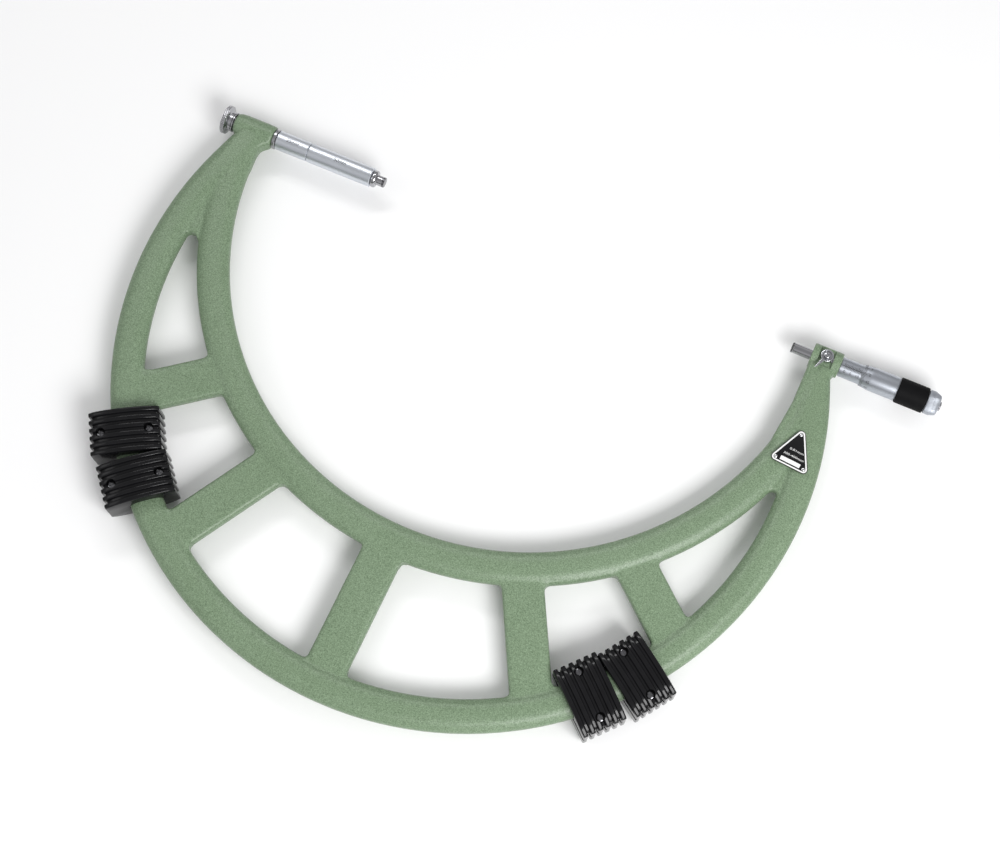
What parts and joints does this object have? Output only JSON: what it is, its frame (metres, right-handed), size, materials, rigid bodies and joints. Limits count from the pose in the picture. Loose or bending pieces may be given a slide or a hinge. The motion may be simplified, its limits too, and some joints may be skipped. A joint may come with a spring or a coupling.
{
  "type": "outside micrometer",
  "caption": "Large outside micrometer: webbed bow frame, spindle with ratchet thimble and lock, and an anvil rod whose spacer collars set the range it measures.",
  "frame": {"origin": "centre of the anvil's measuring face", "axes": "+X along the measuring axis from the anvil to the spindle, +Z out of the front of the frame, +Y away from the bow"},
  "size_m": [0.5596, 0.3692, 0.0332],
  "materials": {
    "green_hammered_paint": "hammered stove enamel",
    "ground_steel": "ground",
    "satin_chrome": "satin chrome plate",
    "carbide": "lapped",
    "black_plastic": "moulded, semi-gloss",
    "black_grip_band": "knurled, matt",
    "brass": "turned",
    "nameplate_black": "screen-printed aluminium",
    "zinc_screw": "zinc plated"
  },
  "bodies": {
    "frame": {"frame": "green_hammered_paint", "anvil_bush": "ground_steel", "grip_1_front": "black_plastic", "grip_1_back": "black_plastic", "grip_2_front": "black_plastic", "grip_2_back": "black_plastic", "grip_3_front": "black_plastic", "grip_3_back": "black_plastic", "grip_4_front": "black_plastic", "grip_4_back": "black_plastic", "grip_1_screw_inner": "zinc_screw", "grip_1_screw_outer": "zinc_screw", "grip_2_screw_inner": "zinc_screw", "grip_2_screw_outer": "zinc_screw", "grip_3_screw_inner": "zinc_screw", "grip_3_screw_outer": "zinc_screw", "grip_4_screw_inner": "zinc_screw", "grip_4_screw_outer": "zinc_screw", "grip_1_nut_inner": "zinc_screw", "grip_1_nut_outer": "zinc_screw", "grip_2_nut_inner": "zinc_screw", "grip_2_nut_outer": "zinc_screw", "grip_3_nut_inner": "zinc_screw", "grip_3_nut_outer": "zinc_screw", "grip_4_nut_inner": "zinc_screw", "grip_4_nut_outer": "zinc_screw", "nameplate": "nameplate_black", "nameplate_rivet_1": "satin_chrome", "nameplate_rivet_2": "satin_chrome", "nameplate_rivet_3": "satin_chrome", "inner_sleeve": "ground_steel", "adjusting_nut": "ground_steel", "lock_pad": "brass"},
    "sleeve": {"graduated_sleeve": "satin_chrome"},
    "spindle_carrier": {"ratchet_spring": "ground_steel"},
    "spindle": {"spindle": "ground_steel", "spindle_tip": "carbide", "thimble": "satin_chrome", "thimble_grip_band": "black_grip_band", "ratchet_clutch": "ground_steel", "ratchet_screw": "ground_steel"},
    "ratchet": {"ratchet_cap": "satin_chrome"},
    "lock": {"lock_lever": "satin_chrome", "lock_screw": "zinc_screw"},
    "anvil": {"anvil_rod": "ground_steel", "anvil_tip": "carbide", "spacer_collar_25": "satin_chrome", "spacer_collar_50": "satin_chrome"},
    "nut_carrier": {"anvil_washer": "ground_steel"},
    "nut": {"anvil_nut": "ground_steel"}
  },
  "joints": [
    {"name": "spindle_travel", "type": "slide", "parent": "frame", "child": "spindle_carrier", "axis": [1, 0, 0], "range_m": [-0.013, 0.012]},
    {"name": "thimble_turn", "type": "hinge", "parent": "spindle_carrier", "child": "spindle", "pos_m": [0.313, 0, 0], "axis": [1, 0, 0], "range_deg": [-9361, 8641]},
    {"name": "ratchet_turn", "type": "hinge", "parent": "spindle", "child": "ratchet", "pos_m": [0.413, 0, 0], "axis": [1, 0, 0], "continuous": true},
    {"name": "sleeve_zero_turn", "type": "hinge", "parent": "frame", "child": "sleeve", "pos_m": [0.3493, 0, 0], "axis": [1, 0, 0], "range_deg": [-15, 15]},
    {"name": "lock_lever_turn", "type": "hinge", "parent": "frame", "child": "lock", "pos_m": [0.338, 0, 0], "axis": [0, 0, 1], "range_deg": [-25, 45]},
    {"name": "anvil_slide", "type": "slide", "parent": "frame", "child": "anvil", "axis": [1, 0, 0], "range_m": [0, 0.036]},
    {"name": "anvil_nut_travel", "type": "slide", "parent": "frame", "child": "nut_carrier", "axis": [1, 0, 0], "range_m": [-0.008, 0]},
    {"name": "anvil_nut_turn", "type": "hinge", "parent": "nut_carrier", "child": "nut", "pos_m": [-0.1206, 0, 0], "axis": [1, 0, 0], "range_deg": [-2880, 0]}
  ],
  "couplings": [
    {"joint": "thimble_turn", "follows": "spindle_travel", "rad_per_m": 12566},
    {"joint": "anvil_nut_travel", "follows": "anvil_nut_turn", "m_per_rad": 0.00015915}
  ]
}
